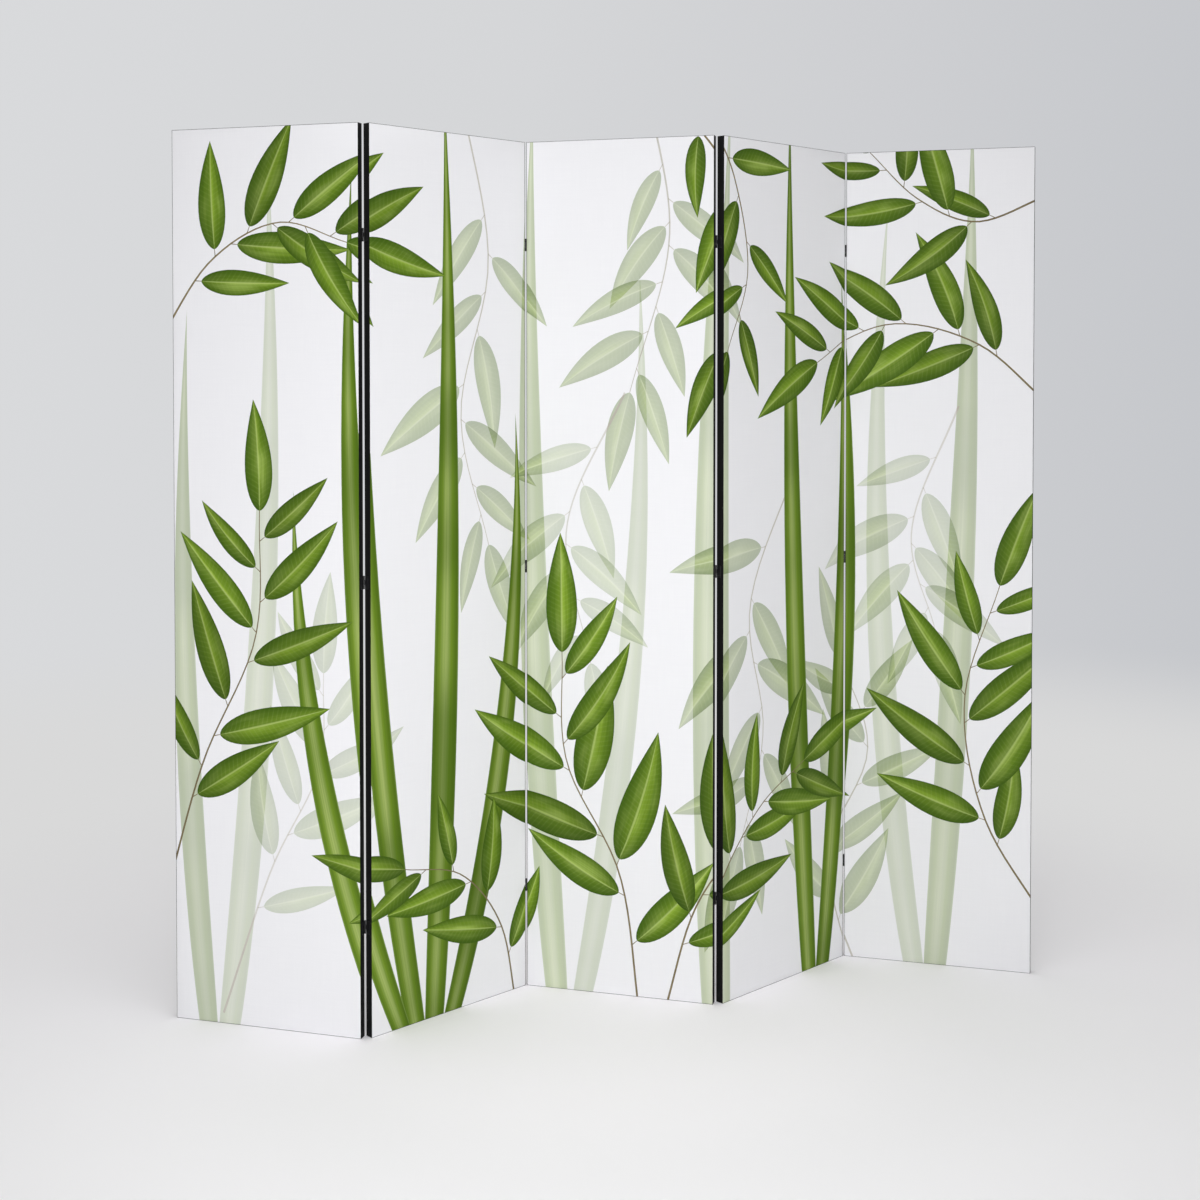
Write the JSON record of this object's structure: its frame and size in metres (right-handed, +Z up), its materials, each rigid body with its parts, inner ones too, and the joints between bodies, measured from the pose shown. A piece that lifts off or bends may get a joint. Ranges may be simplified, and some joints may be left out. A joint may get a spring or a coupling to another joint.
{
  "type": "folding screen",
  "caption": "Free-standing zigzag folding screen: equal rectangular canvas panels with a botanical print, black edges and small butt hinges, for dividing a room.",
  "frame": {"origin": "on the floor, under the middle of the middle panel", "axes": "+X along the row of panels, from the first to the last; +Y out of the back; +Z up"},
  "size_m": [1.7142, 0.2062, 1.7],
  "materials": {
    "pine": "sawn and planed, unfinished",
    "printed_canvas": "white canvas with a green botanical print",
    "plain_backing": "plain off-white cloth",
    "black_edging": "matt black plastic strip",
    "hinge_steel": "black enamel",
    "hinge_fixings": "black enamel"
  },
  "bodies": {
    "panel_1": {"panel_1_left_stile": "pine", "panel_1_right_stile": "pine", "panel_1_bottom_rail": "pine", "panel_1_top_rail": "pine", "panel_1_cross_rail": "pine", "panel_1_front_canvas": "printed_canvas", "panel_1_back_cloth": "plain_backing", "panel_1_edging": "black_edging", "panel_1_hinge_screws": "hinge_fixings", "fold_1_left_leaves": "hinge_steel", "fold_1_pins": "hinge_fixings"},
    "panel_2": {"panel_2_left_stile": "pine", "panel_2_right_stile": "pine", "panel_2_bottom_rail": "pine", "panel_2_top_rail": "pine", "panel_2_cross_rail": "pine", "panel_2_front_canvas": "printed_canvas", "panel_2_back_cloth": "plain_backing", "panel_2_edging": "black_edging", "panel_2_hinge_screws": "hinge_fixings", "fold_2_left_leaves": "hinge_steel", "fold_2_pins": "hinge_fixings", "fold_1_right_leaves": "hinge_steel"},
    "panel_3": {"panel_3_left_stile": "pine", "panel_3_right_stile": "pine", "panel_3_bottom_rail": "pine", "panel_3_top_rail": "pine", "panel_3_cross_rail": "pine", "panel_3_front_canvas": "printed_canvas", "panel_3_back_cloth": "plain_backing", "panel_3_edging": "black_edging", "panel_3_hinge_screws": "hinge_fixings", "fold_3_left_leaves": "hinge_steel", "fold_3_pins": "hinge_fixings", "fold_2_right_leaves": "hinge_steel"},
    "panel_4": {"panel_4_left_stile": "pine", "panel_4_right_stile": "pine", "panel_4_bottom_rail": "pine", "panel_4_top_rail": "pine", "panel_4_cross_rail": "pine", "panel_4_front_canvas": "printed_canvas", "panel_4_back_cloth": "plain_backing", "panel_4_edging": "black_edging", "panel_4_hinge_screws": "hinge_fixings", "fold_4_left_leaves": "hinge_steel", "fold_4_pins": "hinge_fixings", "fold_3_right_leaves": "hinge_steel"},
    "panel_5": {"panel_5_left_stile": "pine", "panel_5_right_stile": "pine", "panel_5_bottom_rail": "pine", "panel_5_top_rail": "pine", "panel_5_cross_rail": "pine", "panel_5_front_canvas": "printed_canvas", "panel_5_back_cloth": "plain_backing", "panel_5_edging": "black_edging", "panel_5_hinge_screws": "hinge_fixings", "fold_4_right_leaves": "hinge_steel"}
  },
  "joints": [
    {"name": "fold_1", "type": "hinge", "parent": "panel_2", "child": "panel_1", "pos_m": [-0.51525, -0.08842, 0], "axis": [0, 0, 1], "range_deg": [-120, 60]},
    {"name": "fold_2", "type": "hinge", "parent": "panel_3", "child": "panel_2", "pos_m": [-0.17175, 0.08842, 0], "axis": [0, 0, -1], "range_deg": [-120, 60]},
    {"name": "fold_3", "type": "hinge", "parent": "panel_3", "child": "panel_4", "pos_m": [0.17175, -0.08842, 0], "axis": [0, 0, -1], "range_deg": [-120, 60]},
    {"name": "fold_4", "type": "hinge", "parent": "panel_4", "child": "panel_5", "pos_m": [0.51525, 0.08842, 0], "axis": [0, 0, 1], "range_deg": [-120, 60]}
  ],
  "couplings": [
    {"joint": "fold_3", "follows": "fold_2", "ratio": 1}
  ]
}
